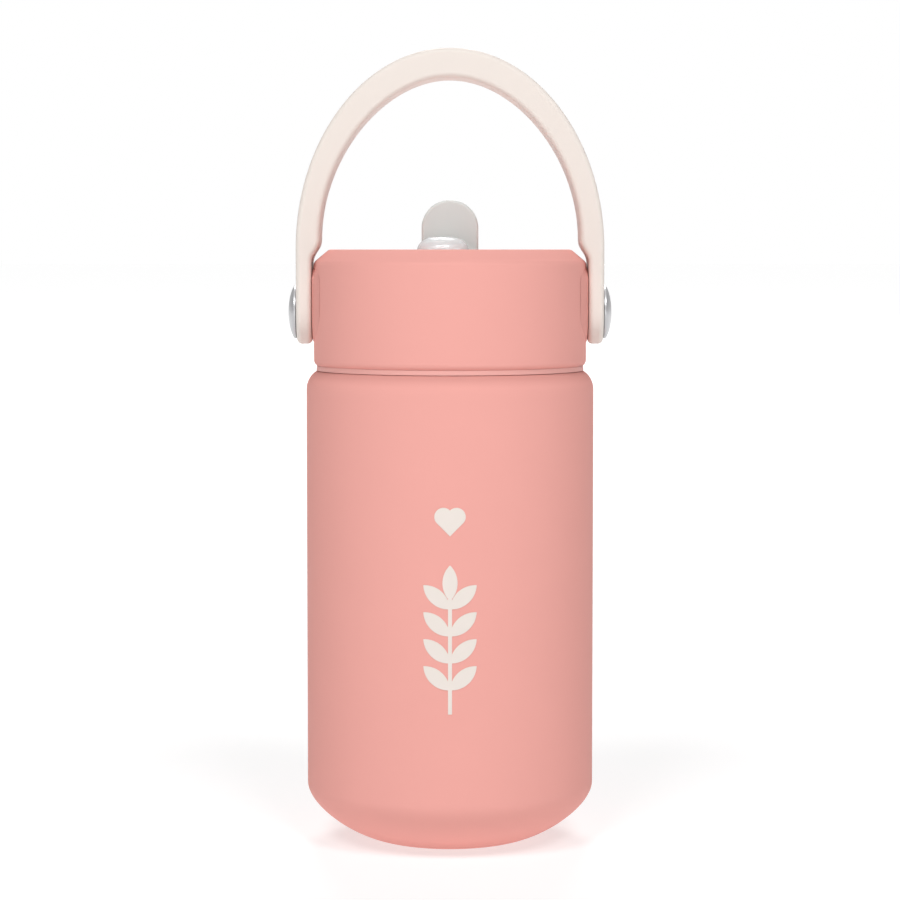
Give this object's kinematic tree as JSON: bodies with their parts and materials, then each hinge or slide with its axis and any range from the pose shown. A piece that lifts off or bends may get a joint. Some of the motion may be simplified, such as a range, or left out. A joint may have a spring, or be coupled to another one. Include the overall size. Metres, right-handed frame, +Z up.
{
  "type": "insulated straw bottle",
  "caption": "Child's insulated steel drinks bottle: round heel, screw-on lid with flip cover over a soft spout, inner straw and swinging carry handle on domed pivots.",
  "frame": {"origin": "centre of the base, on the surface the bottle stands on", "axes": "+Z up along the bottle's axis, the front with the printed motif faces -Y, the handle's pivot axis runs along X"},
  "size_m": [0.0842, 0.0751, 0.2065],
  "materials": {
    "powder_coat": "matte powder coat, coral pink",
    "vessel_steel": "fine turned stainless steel",
    "solder_glass": "dull dark solder glass",
    "getter_metal": "grey sintered pellet",
    "cream_print": "matte cream ink",
    "lid_plastic": "fine matte moulded plastic, coral pink",
    "inner_plastic": "satin off-white moulded plastic",
    "seal_silicone": "translucent white silicone",
    "clear_silicone": "clear soft silicone",
    "straw_plastic": "clear plastic tube",
    "cover_plastic": "smooth light grey plastic",
    "pin_steel": "drawn stainless steel",
    "handle_plastic": "matte cream moulded plastic",
    "bush_nylon": "natural nylon",
    "insert_brass": "knurled brass",
    "cap_steel": "polished stainless steel dome"
  },
  "bodies": {
    "bottle": {"outer_shell": "powder_coat", "neck_ring": "vessel_steel", "inner_liner": "vessel_steel", "mouth_collar": "vessel_steel", "outer_bottom": "vessel_steel", "vacuum_seal": "solder_glass", "getter": "getter_metal", "base_plate": "vessel_steel", "decal_film": "cream_print"},
    "seal_ring": {"lid_seal": "seal_silicone"},
    "lid": {"lid_shell": "lid_plastic", "lid_inner": "inner_plastic", "thread_sleeve": "inner_plastic", "seam_ring": "seal_silicone", "mouthpiece": "clear_silicone", "straw": "straw_plastic", "vent_valve": "seal_silicone", "cover_pin": "pin_steel", "pivot_bush_left": "bush_nylon", "pivot_bush_right": "bush_nylon", "handle_screw_left": "pin_steel", "handle_screw_right": "pin_steel", "thread_insert_left": "insert_brass", "thread_insert_right": "insert_brass", "pivot_cap_left": "cap_steel", "pivot_cap_right": "cap_steel"},
    "cover": {"flip_cover": "cover_plastic"},
    "handle": {"handle": "handle_plastic"}
  },
  "joints": [
    {"name": "lid_lift", "type": "slide", "parent": "bottle", "child": "seal_ring", "axis": [0, 0, 1], "range_m": [0, 0.1485]},
    {"name": "lid_turn", "type": "hinge", "parent": "seal_ring", "child": "lid", "pos_m": [0, 0, 0.1413], "axis": [0, 0, 1], "range_deg": [0, 3960]},
    {"name": "handle_swing", "type": "hinge", "parent": "lid", "child": "handle", "pos_m": [0, 0, 0.1384], "axis": [1, 0, 0], "range_deg": [-115, 115]},
    {"name": "cover_flip", "type": "hinge", "parent": "lid", "child": "cover", "pos_m": [0, 0.0097, 0.1515], "axis": [1, 0, 0], "range_deg": [0, 90], "deforming": ["mouthpiece"]}
  ],
  "couplings": [
    {"joint": "lid_lift", "follows": "lid_turn", "m_per_rad": 0.0021486}
  ]
}
